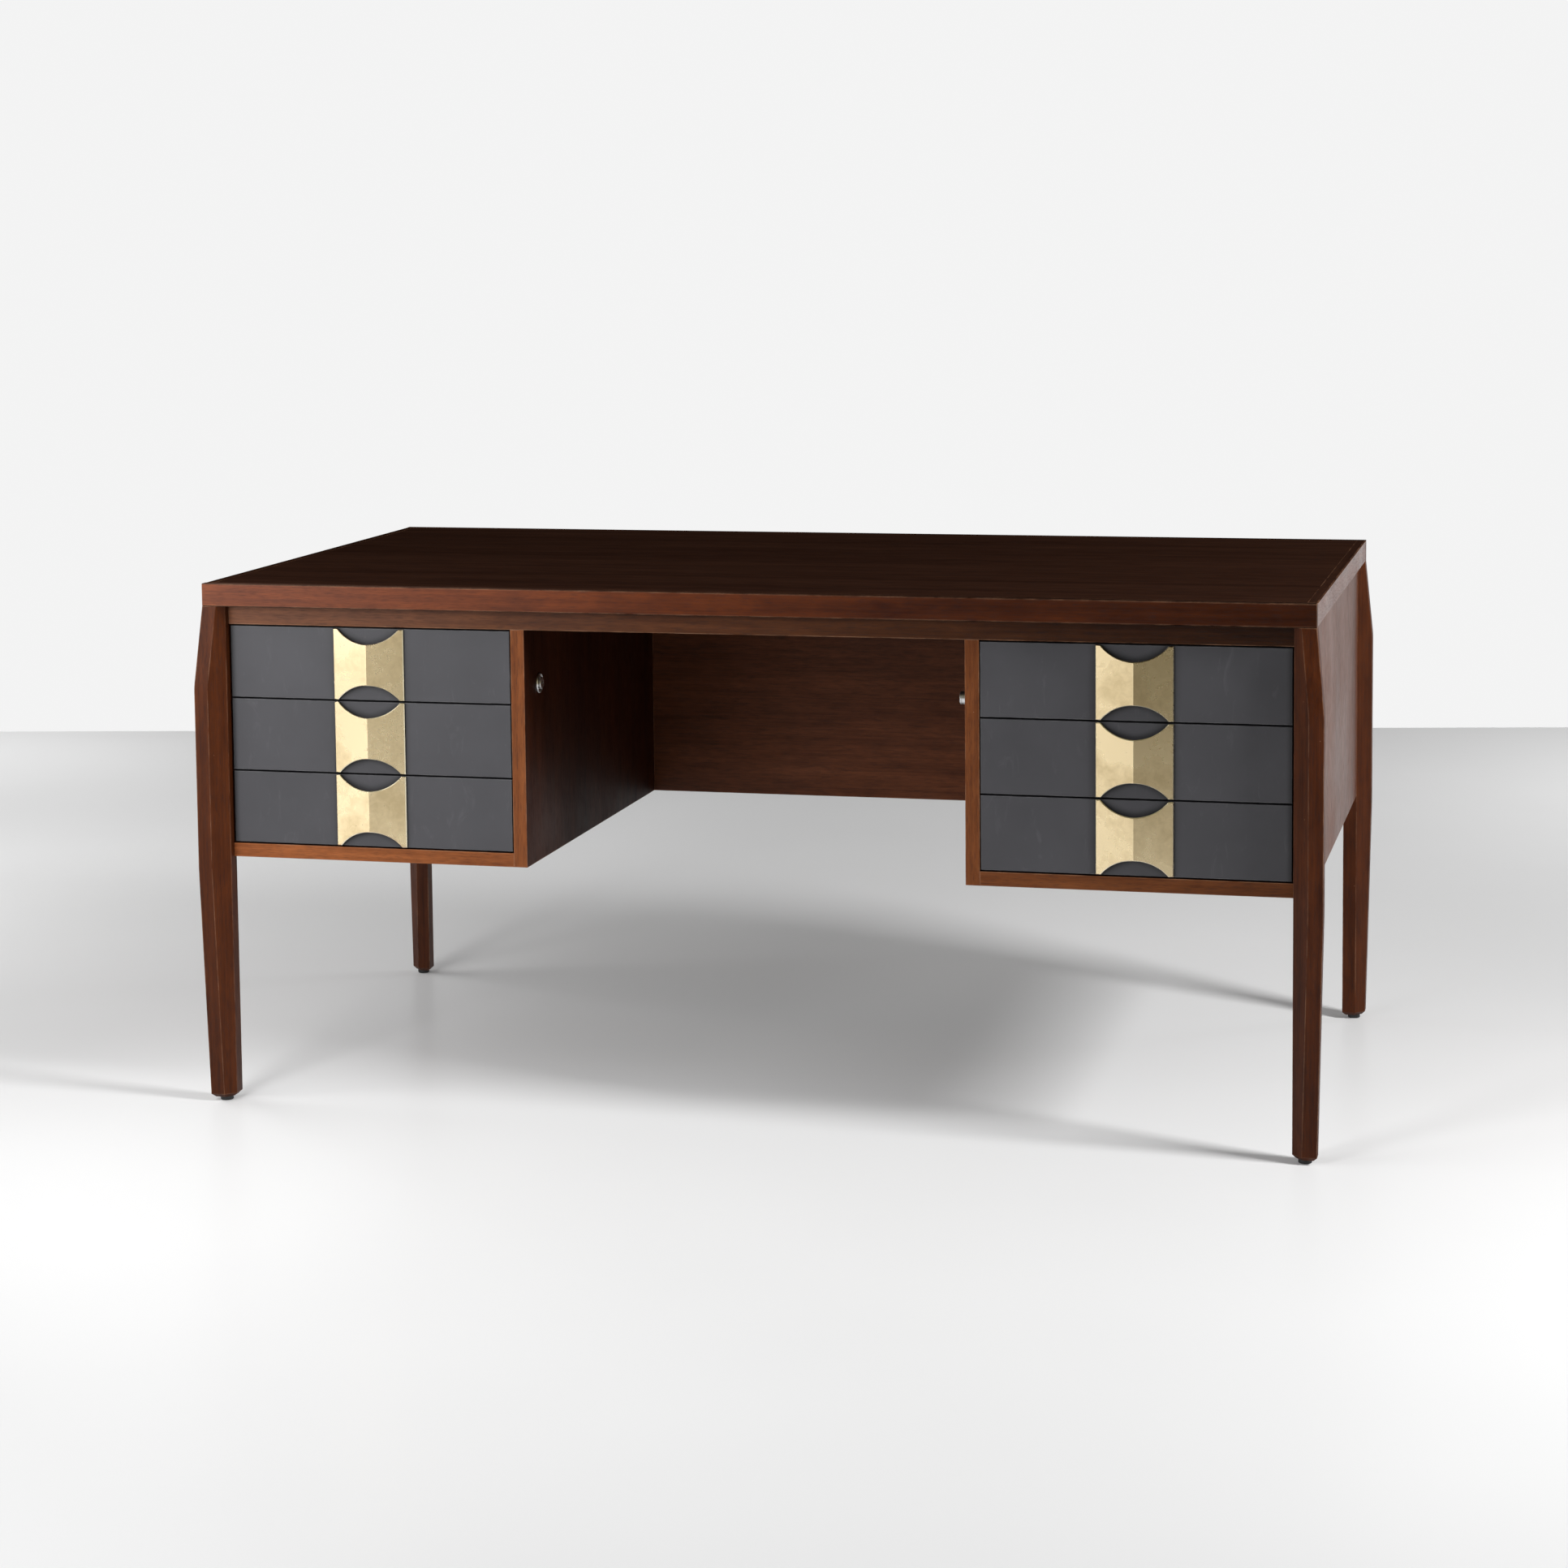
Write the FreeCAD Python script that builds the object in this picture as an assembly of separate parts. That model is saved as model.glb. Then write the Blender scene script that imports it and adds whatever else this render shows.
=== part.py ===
import FreeCAD, Part
import math
import os

# Partners desk: two pedestals of three drawers under one top, on four diagonal plank legs.
# Millimetres, Z up. The origin is on the floor at the middle of the desk, and the drawers face -Y.

# Overall sizes
top_length = 1600.0
top_depth = 882.0
overall_height = 765.0
top_thickness = 33.0
edging_width = 14.0
edging_arris = 1.2
rail_height = 28.0
board_thickness = 20.0
front_setback = 22.5
pedestal_clear_height = 361.5
kneehole_width = 637.0
modesty_face_y = 245.0
modesty_thickness = 18.0
back_thickness = 18.0

# Legs: a plank set on the diagonal, with a square point at its outer and its inner edge
leg_face = 20.5
leg_inset = 31.0
knee_outset = 11.0
foot_outset = 3.5
knee_drop = 117.5
knee_low_height = 346.5
knee_radius = 160.0
foot_chamfer = 5.0
glide_height = 6.0
glide_radius = 9.5
glide_arris = 1.0

# Drawers
drawer_rows = 3
front_gap = 2.2
inner_gap = 1.4
outer_gap = 2.8
front_thickness = 18.0
front_arris = 0.6
box_gap = 7.0
box_lift = 10.0
box_top_drop = 12.7
box_length = 560.0
side_thickness = 13.0
box_back_thickness = 12.0
bottom_thickness = 6.0
bottom_rise = 8.0
bottom_groove = 5.0

# Drawer runners, each in a groove of the drawer side
runner_height = 10.0
runner_rise_share = 0.4
runner_clearance = 0.3
groove_depth = 7.5
runner_end_clearance = 0.5
runner_front_gap = 6.0
runner_length = 520.0

# Brass pulls: a plate bent along its upright middle line, hollowed by an arc above and below
pull_width = 107.0
pull_margin = 0.6
pull_plate = 3.0
pull_rise = 9.5
pull_foot = 2.6
pull_tip = 7.0
pull_sagitta = 21.7
pull_bevel = 1.1
boss_radius = 4.0
boss_offset = 30.0
screw_radius = 2.0
screw_clearance = 0.3
thread_clearance = 0.1
screw_head_radius = 4.2
screw_head_height = 2.4
screw_depth = 4.0

# Locks in the inner panels: a cylinder lifts a bar whose lugs stop the drawers
lock_setback = 67.5
lock_drop_left = 85.0
lock_drop_right = 90.5
bezel_radius = 14.5
bezel_rim_width = 1.7
bezel_dish = 1.2
bezel_height = 2.5
bezel_arris = 1.0
core_radius = 9.0
core_clearance = 0.4
core_hole_clearance = 0.3
core_proud_left = 5.0
core_proud_right = 19.0
core_ring_back = 2.8
core_ring_width = 0.6
core_ring_depth = 0.5
core_arris = 0.8
core_end = 11.0
core_hole_depth = 12.0
key_slot_length = 8.0
key_slot_width = 1.8
key_slot_depth = 4.0
pin_radius = 2.0
bar_lift = 12.0
bar_groove_depth = 10.0
bar_thickness = 6.0
bar_width = 16.0
bar_clearance = 0.5
bar_surface_gap = 2.0
bar_slot_clearance = 0.8
bar_end = 10.0
lug_length = 6.5
lug_width = 4.0
lug_height_share = 0.09
lug_runner_gap = 3.0
strike_gap_up = 4.0
strike_gap_back = 1.0
strike_height_share = 0.1
strike_reach = 5.0
strike_width = 4.0
strike_plate_length = 24.0
strike_plate_thickness = 1.5

# Cleats under the top
cleat_size = 22.0
cleat_end_gap = 60.0

overrun = 2.0

# Derived places
half_length = top_length / 2
half_depth = top_depth / 2
top_underside = overall_height - top_thickness
rail_underside = top_underside - rail_height
front_plane = front_setback - half_depth
rear_plane = -front_plane
side_inner_x = half_length - leg_inset
knee_inner_x = kneehole_width / 2
bay_inner_x = knee_inner_x + board_thickness
bay_floor = pedestal_clear_height + board_thickness
front_height = (rail_underside - bay_floor - (drawer_rows + 1) * front_gap) / drawer_rows
box_height = front_height - box_lift - box_top_drop
runner_rise = runner_rise_share * front_height
lug_rise = runner_rise + runner_height / 2 + lug_runner_gap
lug_height = lug_height_share * front_height
strike_height = strike_height_share * front_height
front_inner_x = bay_inner_x + inner_gap
front_outer_x = side_inner_x - outer_gap
pull_x = (front_inner_x + front_outer_x) / 2
box_front_y = front_plane + front_thickness
box_inner_x = bay_inner_x + box_gap
box_outer_x = side_inner_x - box_gap
box_back_y = box_front_y + box_length
lock_y = front_plane + lock_setback
lock_levels = {-1: rail_underside - lock_drop_left, 1: rail_underside - lock_drop_right}
core_prouds = {-1: core_proud_left, 1: core_proud_right}
pin_orbit = bar_lift / math.sqrt(2)
pin_near = pin_orbit / math.sqrt(2)
bar_y = lock_y + (pin_orbit + pin_near) / 2
sides = {"left": -1, "right": 1}
rows = ["top", "middle", "bottom"]


def box(x0, x1, y0, y1, z0, z1):
    """A block between two corners, given in any order along X."""
    low, high = min(x0, x1), max(x0, x1)
    return Part.makeBox(high - low, y1 - y0, z1 - z0, FreeCAD.Vector(low, y0, z0))


def rod_along(axis, radius, length, at):
    return Part.makeCylinder(radius, length, FreeCAD.Vector(*at), FreeCAD.Vector(*axis))


def prism(points, direction):
    """A solid swept from a flat closed outline."""
    outline = [FreeCAD.Vector(*p) for p in points]
    return Part.Face(Part.makePolygon(outline + outline[:1])).extrude(FreeCAD.Vector(*direction))


def edges_where(shape, test):
    return [edge for edge in shape.Edges if test(edge.BoundBox)]


def write(name, solids):
    """Write one node: a single solid, or several solids side by side."""
    shape = solids[0] if len(solids) == 1 else Part.makeCompound(solids)
    shape.exportStep("parts/" + name + ".step")


def row_base(row):
    """Height of the lower edge of a drawer front, counting rows from the top."""
    return rail_underside - (row + 1) * (front_gap + front_height)


# Top


def top_pieces():
    core = box(edging_width - half_length, half_length - edging_width,
               edging_width - half_depth, half_depth - edging_width, top_underside, overall_height)
    long_strips = []
    short_strips = []
    for sign in sides.values():
        y_out, y_in = sign * half_depth, sign * (half_depth - edging_width)
        strip = box(-half_length, half_length, min(y_out, y_in), max(y_out, y_in),
                    top_underside, overall_height)
        outer = edges_where(strip, lambda b: abs(b.YMin - y_out) < edging_arris
                            and b.YLength < edging_arris and b.XLength > edging_width)
        long_strips.append(strip.makeChamfer(edging_arris, outer))
        x_out, x_in = sign * half_length, sign * (half_length - edging_width)
        strip = box(x_out, x_in, edging_width - half_depth, half_depth - edging_width,
                    top_underside, overall_height)
        outer = edges_where(strip, lambda b: abs(b.XMin - x_out) < edging_arris
                            and b.XLength < edging_arris and b.YLength > edging_width)
        short_strips.append(strip.makeChamfer(edging_arris, outer))
    return core, long_strips, short_strips


# Legs


def leg_outset_side(direction):
    """The space inside the swelling outer line of a leg, seen from one side and swept through it.

    The line runs out from the corner of the top to the knee, straight down past the drawers,
    and back in to the foot. Distances are measured inwards from the corner of the top.
    """
    reach = leg_inset + overrun
    line = [(0.0, top_underside), (-knee_outset, top_underside - knee_drop),
            (-knee_outset, knee_low_height), (-foot_outset, glide_height)]
    wires = []
    start = line[0]
    for before, corner, after in zip(line, line[1:], line[2:]):
        entry, middle, leave = soften(before, corner, after)
        wires.append(Part.makeLine(direction(*start), direction(*entry)))
        wires.append(Part.Arc(direction(*entry), direction(*middle), direction(*leave)).toShape())
        start = leave
    wires.append(Part.makeLine(direction(*start), direction(*line[-1])))
    wires.append(Part.makeLine(direction(*line[-1]), direction(reach, glide_height)))
    wires.append(Part.makeLine(direction(reach, glide_height), direction(reach, top_underside)))
    wires.append(Part.makeLine(direction(reach, top_underside), direction(*line[0])))
    return Part.Face(Part.Wire(wires))


def soften(before, corner, after):
    """The start, middle and end of the arc that rounds one bend of the leg's outer line."""
    towards = unit(corner, before)
    onwards = unit(corner, after)
    cosine = towards[0] * onwards[0] + towards[1] * onwards[1]
    half_angle = math.acos(cosine) / 2
    tangent = knee_radius / math.tan(half_angle)
    entry = (corner[0] + tangent * towards[0], corner[1] + tangent * towards[1])
    leave = (corner[0] + tangent * onwards[0], corner[1] + tangent * onwards[1])
    inwards = unit((0.0, 0.0), (towards[0] + onwards[0], towards[1] + onwards[1]))
    sag = knee_radius / math.sin(half_angle) - knee_radius
    middle = (corner[0] + sag * inwards[0], corner[1] + sag * inwards[1])
    return entry, middle, leave


def unit(start, end):
    length = math.hypot(end[0] - start[0], end[1] - start[1])
    return (end[0] - start[0]) / length, (end[1] - start[1]) / length


def leg(sign_x, sign_y):
    corner_x, corner_y = sign_x * half_length, sign_y * half_depth

    def place(across, along, height=0.0):
        return FreeCAD.Vector(corner_x - sign_x * across, corner_y - sign_y * along, height)

    out = -knee_outset
    near = leg_inset - leg_face
    outline = [(out, out), (out + leg_face, out), (leg_inset, near),
               (leg_inset, leg_inset), (near, leg_inset), (out, out + leg_face)]
    plank = prism([tuple(place(*p)) for p in [(a, b, glide_height) for a, b in outline]],
                  (0, 0, top_underside - glide_height))
    through = leg_inset + knee_outset + 2 * overrun
    from_front = leg_outset_side(lambda a, z: place(a, -knee_outset - overrun, z))
    from_side = leg_outset_side(lambda a, z: place(-knee_outset - overrun, a, z))
    shape = plank.common(from_front.extrude(FreeCAD.Vector(0, -sign_y * through, 0)))
    shape = shape.common(from_side.extrude(FreeCAD.Vector(-sign_x * through, 0, 0)))
    shape = shape.removeSplitter().Solids[0]
    foot = edges_where(shape, lambda b: b.ZMax < glide_height + overrun)
    return shape.makeChamfer(foot_chamfer, foot)


def glide(sign_x, sign_y):
    inset = (leg_inset - foot_outset) / 2
    centre = (sign_x * (half_length - inset), sign_y * (half_depth - inset), 0)
    disc = rod_along((0, 0, 1), glide_radius, glide_height, centre)
    rim = edges_where(disc, lambda b: b.ZMax < glide_arris and b.XLength > glide_radius)
    return disc.makeChamfer(glide_arris, rim)


# Fixed boards


def rail(sign_y):
    outer, inner = sign_y * rear_plane, sign_y * (rear_plane - board_thickness)
    return box(-side_inner_x, side_inner_x, min(outer, inner), max(outer, inner),
               rail_underside, top_underside)


def end_panel(sign):
    reach = half_depth - leg_inset
    return box(sign * side_inner_x, sign * (side_inner_x + leg_face), -reach, reach,
               pedestal_clear_height, top_underside)


def bar_low():
    return row_base(drawer_rows - 1) + lug_rise - bar_end


def bar_high():
    return row_base(0) + lug_rise + lug_height + bar_end


def inner_panel(sign):
    """An upright panel beside the kneehole, notched under both rails, with the lock let into it."""
    panel = box(sign * knee_inner_x, sign * bay_inner_x, front_plane, rear_plane,
                pedestal_clear_height, top_underside)
    x0, x1 = sign * (knee_inner_x - overrun), sign * (bay_inner_x + overrun)
    panel = panel.cut(box(x0, x1, front_plane - overrun, front_plane + board_thickness,
                          rail_underside, top_underside + overrun))
    panel = panel.cut(box(x0, x1, rear_plane - board_thickness, rear_plane + overrun,
                          rail_underside, top_underside + overrun))
    half_groove = bar_width / 2 + bar_clearance
    panel = panel.cut(box(sign * (bay_inner_x - bar_groove_depth), x1,
                          bar_y - half_groove, bar_y + half_groove,
                          bar_low() - bar_clearance, bar_high() + bar_lift + bar_clearance))
    hole = rod_along((sign, 0, 0), core_radius + core_hole_clearance, core_hole_depth + overrun,
                     (x0, lock_y, lock_levels[sign]))
    return panel.cut(hole)


def pedestal_bottom(sign):
    return box(sign * bay_inner_x, sign * side_inner_x, front_plane, rear_plane,
               pedestal_clear_height, bay_floor)


def pedestal_back(sign):
    return box(sign * bay_inner_x, sign * side_inner_x, rear_plane - back_thickness, rear_plane,
               bay_floor, rail_underside)


def modesty_panel():
    return box(-knee_inner_x, knee_inner_x, modesty_face_y, modesty_face_y + modesty_thickness,
               pedestal_clear_height, top_underside)


def runners(sign):
    """Six strips, two for each drawer, on the walls of one pedestal."""
    start = box_front_y + runner_front_gap
    reach = box_gap + groove_depth - runner_end_clearance
    strips = []
    for row in range(drawer_rows):
        low = row_base(row) + runner_rise - runner_height / 2
        for wall, inwards in ((bay_inner_x, reach), (side_inner_x, -reach)):
            strips.append(box(sign * wall, sign * (wall + inwards), start, start + runner_length,
                              low, low + runner_height))
    return strips


def cleats(sign):
    """Strips in the corner between the top and the two walls of one pedestal."""
    reach = rear_plane - board_thickness - cleat_end_gap
    strips = []
    for wall, inwards in ((bay_inner_x, cleat_size), (side_inner_x, -cleat_size)):
        strips.append(box(sign * wall, sign * (wall + inwards), -reach, reach,
                          top_underside - cleat_size, top_underside))
    return strips


# Locks


def bezel(sign):
    """A thin ring on the kneehole face, dished inside its rim."""
    face = sign * knee_inner_x
    lock_z = lock_levels[sign]
    ring = rod_along((-sign, 0, 0), bezel_radius, bezel_height, (face, lock_y, lock_z))
    rim = edges_where(ring, lambda b: b.XLength < bezel_arris and b.YLength > bezel_radius
                      and abs(b.XMin - face) > bezel_arris)
    ring = ring.makeChamfer(bezel_arris, rim)
    floor = face - sign * (bezel_height - bezel_dish)
    ring = ring.cut(rod_along((-sign, 0, 0), bezel_radius - bezel_rim_width, bezel_dish + overrun,
                              (floor, lock_y, lock_z)))
    start = face + sign * overrun
    return ring.cut(rod_along((-sign, 0, 0), core_radius + core_clearance,
                              bezel_height + 2 * overrun, (start, lock_y, lock_z)))


def lock_cylinder(sign):
    """The core with its key slot, and at its inner end the pin that lifts the bar."""
    lock_z = lock_levels[sign]
    proud = core_prouds[sign]
    tip = sign * (knee_inner_x - proud)
    core = rod_along((sign, 0, 0), core_radius, proud + core_end, (tip, lock_y, lock_z))
    rim = edges_where(core, lambda b: b.XLength < core_arris and b.YLength > core_radius
                      and abs(b.XMin - tip) < core_arris)
    core = core.makeChamfer(core_arris, rim)
    ring_start = (tip + sign * core_ring_back, lock_y, lock_z)
    ring = rod_along((sign, 0, 0), core_radius + overrun, core_ring_width, ring_start)
    core = core.cut(ring.cut(rod_along((sign, 0, 0), core_radius - core_ring_depth, core_ring_width, ring_start)))
    core = core.cut(box(tip - sign * overrun, tip + sign * key_slot_depth,
                        lock_y - key_slot_length / 2, lock_y + key_slot_length / 2,
                        lock_z - key_slot_width / 2, lock_z + key_slot_width / 2))
    pin = rod_along((sign, 0, 0), pin_radius, bar_thickness + bar_clearance,
                    (sign * (knee_inner_x + core_end), lock_y + pin_near, lock_z - pin_near))
    return core.fuse(pin).removeSplitter()


def lock_bar(sign):
    """A strip in the panel's groove, with a slot for the pin and one lug for each drawer."""
    skin = sign * (bay_inner_x - bar_surface_gap)
    root = sign * (bay_inner_x - bar_surface_gap - bar_thickness)
    lock_z = lock_levels[sign]
    strip = box(root, skin, bar_y - bar_width / 2, bar_y + bar_width / 2, bar_low(), bar_high())
    slot_half = pin_radius + bar_slot_clearance
    strip = strip.cut(box(root - sign * overrun, skin + sign * overrun,
                          lock_y + pin_near - slot_half, lock_y + pin_orbit + slot_half,
                          lock_z - pin_near - slot_half, lock_z - pin_near + slot_half))
    solids = [strip]
    for row in range(drawer_rows):
        low = row_base(row) + lug_rise
        solids.append(box(skin, skin + sign * lug_length, bar_y - lug_width / 2,
                          bar_y + lug_width / 2, low, low + lug_height))
    return solids


# Drawers


def drawer_front(sign, row):
    low = row_base(row)
    board = box(sign * front_inner_x, sign * front_outer_x, front_plane, box_front_y,
                low, low + front_height)
    face = edges_where(board, lambda b: b.YMax < front_plane + front_arris)
    board = board.makeChamfer(front_arris, face)
    for x in boss_places(sign):
        hole = rod_along((0, 1, 0), screw_radius + screw_clearance, front_thickness + 2 * overrun,
                         (x, front_plane - overrun, low + front_height / 2))
        board = board.cut(hole)
    return board


def boss_places(sign):
    return [sign * pull_x - boss_offset, sign * pull_x + boss_offset]


def drawer_box(sign, row):
    """Two sides, each grooved for its runner and for the bottom, and a back between them."""
    low = row_base(row) + box_lift
    high = low + box_height
    solids = []
    for wall, inwards in ((box_inner_x, 1), (box_outer_x, -1)):
        inner = wall + inwards * side_thickness
        board = box(sign * wall, sign * inner, box_front_y, box_back_y, low, high)
        middle = row_base(row) + runner_rise
        half = runner_height / 2 + runner_clearance
        board = board.cut(box(sign * (wall - inwards * overrun), sign * (wall + inwards * groove_depth),
                              box_front_y + runner_front_gap - runner_end_clearance,
                              box_back_y + overrun, middle - half, middle + half))
        board = board.cut(box(sign * (inner - inwards * bottom_groove), sign * (inner + inwards * overrun),
                              box_front_y - overrun, box_back_y + overrun,
                              low + bottom_rise, low + bottom_rise + bottom_thickness))
        solids.append(board)
    solids.append(box(sign * (box_inner_x + side_thickness), sign * (box_outer_x - side_thickness),
                      box_back_y - box_back_thickness, box_back_y,
                      low + bottom_rise + bottom_thickness, high))
    return solids


def drawer_bottom(sign, row):
    low = row_base(row) + box_lift + bottom_rise
    tuck = side_thickness - bottom_groove
    return box(sign * (box_inner_x + tuck), sign * (box_outer_x - tuck), box_front_y, box_back_y,
               low, low + bottom_thickness)


def drawer_pull(sign, row):
    """The bent plate, with its bevelled rim and the two bosses that take the screws."""
    low = row_base(row) + pull_margin
    height = front_height - 2 * pull_margin
    middle = sign * pull_x
    half = pull_width / 2
    back = [(-half, 0.0), (pull_foot - half, 0.0), (0.0, -pull_rise), (half - pull_foot, 0.0), (half, 0.0)]
    front = [(half, -pull_plate), (0.0, -pull_rise - pull_plate), (-half, -pull_plate)]
    plate = prism([(middle + x, front_plane + y, low) for x, y in back + front], (0, 0, height))
    half_chord = half - pull_tip
    radius = (half_chord ** 2 + pull_sagitta ** 2) / (2 * pull_sagitta)
    depth = pull_rise + pull_plate + 2 * overrun
    for level, way in ((low, 1), (low + height, -1)):
        centre = level + way * (pull_sagitta - radius)
        hollow = rod_along((0, 1, 0), radius, depth,
                           (middle, front_plane - pull_rise - pull_plate - overrun, centre))
        plate = plate.cut(hollow)
    plate = plate.removeSplitter()
    rim = [edge for edge in plate.Edges if on_pull_rim(edge, middle)]
    plate = plate.makeChamfer(pull_bevel, rim)
    for x in boss_places(sign):
        slope = pull_rise * (1 - boss_offset / (half - pull_foot))
        boss = rod_along((0, -1, 0), boss_radius, slope + pull_plate / 2,
                         (x, front_plane, low + height / 2))
        bore = rod_along((0, -1, 0), screw_radius + thread_clearance, screw_depth + 2 * overrun,
                         (x, front_plane + overrun, low + height / 2))
        plate = plate.fuse(boss).cut(bore)
    return plate.removeSplitter()


def on_pull_rim(edge, middle):
    """True for the edges around the front of a pull, and not for its middle bend or its back."""
    ends = [edge.valueAt(edge.FirstParameter), edge.valueAt(edge.LastParameter)]
    for point in ends:
        slope = pull_rise * (1 - abs(point.x - middle) / (pull_width / 2))
        if abs(front_plane - pull_plate - slope - point.y) > pull_plate / 2:
            return False
    return any(abs(point.x - middle) > pull_plate for point in ends)


def drawer_fixings(sign, row):
    """Two screws through the front into the pull, and the strike on the side by the lock."""
    level = row_base(row) + front_height / 2
    solids = []
    for x in boss_places(sign):
        shank = rod_along((0, 1, 0), screw_radius, front_thickness + screw_depth,
                          (x, front_plane - screw_depth, level))
        head = rod_along((0, 1, 0), screw_head_radius, screw_head_height, (x, box_front_y, level))
        solids.append(shank.fuse(head).removeSplitter())
    low = row_base(row) + lug_rise + lug_height + strike_gap_up
    start = bar_y + lug_width / 2 + strike_gap_back
    skin = sign * box_inner_x
    plate = box(skin, skin - sign * strike_plate_thickness, start, start + strike_plate_length,
                low, low + strike_height)
    stop = box(skin, skin - sign * strike_reach, start, start + strike_width, low, low + strike_height)
    solids.append(plate.fuse(stop).removeSplitter())
    return solids


os.makedirs("parts", exist_ok=True)

core, long_strips, short_strips = top_pieces()
write("top_panel", [core])
write("top_edging_long", long_strips)
write("top_edging_short", short_strips)
write("front_rail", [rail(-1)])
write("rear_rail", [rail(1)])
write("modesty_panel", [modesty_panel()])
for depth_name, sign_y in (("front", -1), ("rear", 1)):
    for side_name, sign_x in sides.items():
        write("leg_" + depth_name + "_" + side_name, [leg(sign_x, sign_y)])
write("leg_glides", [glide(sign_x, sign_y) for sign_x in sides.values() for sign_y in sides.values()])

for side_name, sign in sides.items():
    write("end_panel_" + side_name, [end_panel(sign)])
    write("inner_panel_" + side_name, [inner_panel(sign)])
    write("pedestal_bottom_" + side_name, [pedestal_bottom(sign)])
    write("pedestal_back_" + side_name, [pedestal_back(sign)])
    write("runners_" + side_name, runners(sign))
    write("top_cleats_" + side_name, cleats(sign))
    write("lock_bezel_" + side_name, [bezel(sign)])
    write("lock_cylinder_" + side_name, [lock_cylinder(sign)])
    write("lock_bar_" + side_name, lock_bar(sign))
    for row, row_name in enumerate(rows):
        stem = "drawer_" + side_name + "_" + row_name
        write(stem + "_front", [drawer_front(sign, row)])
        write(stem + "_box", drawer_box(sign, row))
        write(stem + "_bottom", [drawer_bottom(sign, row)])
        write(stem + "_pull", [drawer_pull(sign, row)])
        write(stem + "_fixings", drawer_fixings(sign, row))
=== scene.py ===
import math

import bpy
from mathutils import Matrix, Vector

# Partners desk in dark figured wood, with charcoal drawer fronts and bent brass pulls.
# Metres, Z up, drawers towards -Y. Colours are linear RGB.

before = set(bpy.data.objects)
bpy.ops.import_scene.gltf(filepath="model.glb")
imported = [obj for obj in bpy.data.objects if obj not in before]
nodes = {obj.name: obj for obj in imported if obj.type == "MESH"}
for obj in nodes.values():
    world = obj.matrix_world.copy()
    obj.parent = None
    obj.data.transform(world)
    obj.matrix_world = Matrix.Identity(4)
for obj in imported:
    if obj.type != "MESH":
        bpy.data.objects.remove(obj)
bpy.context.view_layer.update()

# Axes, for the direction of grain and the way that a face looks
X, Y, Z = 0, 1, 2

# Camera, at the photograph's viewpoint
IMAGE_SIDE = 1932
FOCAL_PIXELS = 4224.0
CENTRE_PIXELS = (900.0, 653.0)
SENSOR_MM = 36.0
CAMERA_PLACE = (1.196, -5.025, 1.303)
CAMERA_YAW = math.radians(14.70)
CAMERA_PITCH = math.radians(5.42)
CAMERA_ROLL = math.radians(-0.645)

# Floor, with its near and far edges measured from the point below the camera
FLOOR_HALF_WIDTH = 9.0
FLOOR_NEAR = 1.9
FLOOR_FAR = 8.45
FLOOR_YAW = math.radians(11.5)
FLOOR_COLOUR = (0.82, 0.82, 0.82)
FLOOR_ROUGHNESS = 0.30
FLOOR_SPECULAR = 0.02
FLOOR_MOTTLE = {"scale": 1.2, "detail": 2.0, "roughness": 0.5}
FLOOR_MOTTLE_SHARE = 0.015

# Lamps, with sizes across and up and power in watts. Each points at the middle of the desk, if nothing else
# is said, and one that isn't mirrored doesn't show in shiny surfaces. The card shows in them alone.
LIGHT_TARGET = (0.0, 0.0, 0.45)
LAMPS = [
    {"name": "side_light", "place": (3.05, -0.97, 2.23), "size": (0.8, 0.8), "power": 118.0},
    {"name": "softbox", "place": (-1.05, -1.12, 1.05), "size": (1.2, 0.8), "power": 9.8, "mirrored": True},
    {"name": "screen", "place": (-1.8, -2.95, 0.55), "size": (2.2, 1.1), "power": 8.5, "mirrored": True},
    {"name": "front_light", "place": (-1.05, -3.05, 1.40), "size": (0.8, 0.8), "power": 32.0},
    {"name": "left_fill", "place": (-2.7, 0.4, 0.9), "size": (1.5, 0.8), "power": 22.0},
    {"name": "right_fill", "place": (3.4, 2.9, 1.7), "size": (1.5, 0.8), "power": 18.0,
     "target": (1.35, 2.9, 0.0), "spread": math.radians(85.0)},
    {"name": "floor_fill", "place": (-3.6, 2.6, 1.5), "size": (1.5, 0.8), "power": 7.0,
     "target": (-2.6, 2.2, 0.0), "spread": math.radians(75.0)},
    {"name": "card", "place": (-1.55, -1.95, 0.08), "size": (1.3, 0.15), "power": 0.85,
     "mirrored": True, "lighting": False},
]

# Surroundings: a level for each part, and between which directions along an axis it comes in
BACKDROP_LEVEL = 0.90
MIRROR_LEVEL = 0.75
ROOM_LEVEL = 0.11
ROOM_TINT = (1.0, 0.87, 0.45)
ROOM_TO_BACKDROP_Y = (-0.35, 0.25)
FLAT_LEVEL = 0.60
FLAT_FROM_X = (0.55, 0.85)
AMBIENT_FRONT = 0.04
AMBIENT_LOW = 0.06
AMBIENT_FRONT_TO_LOW_Y = (-0.7, 0.0)
AMBIENT_HIGH = 0.13
AMBIENT_HIGH_FROM_Z = (0.3, 0.8)
AMBIENT_BEHIND = 0.85
AMBIENT_BEHIND_FROM_Y = (0.3, 0.7)
AMBIENT_BEHIND_UP_TO_Z = (0.30, 0.50)
WHITE = (1.0, 1.0, 1.0)

# Edges: rounding, wear, and shade painted into the corners
ARRIS_RADIUS = 0.0010
WEAR_RADIUS = 0.0025
PAINT_WEAR_RADIUS = WEAR_RADIUS / 2
METAL_ARRIS = 0.0003
# Painted shade: how far the paint looks for surfaces closing in on it
PAINTED_SHADE_REACH = 0.012
EDGE_SAMPLES = 6
PAINTED_SHADE_SAMPLES = 8
EDGE_LIMITS = (0.995, 0.86)

# Patterns that several finishes use
PIECE_SHIFT = 7.0
MIDDLE_LIMITS = (0.3, 0.7)
SPECK_CORE = 0.5
SPECK_CHOICE = 0.72


# Shader nodes


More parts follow.
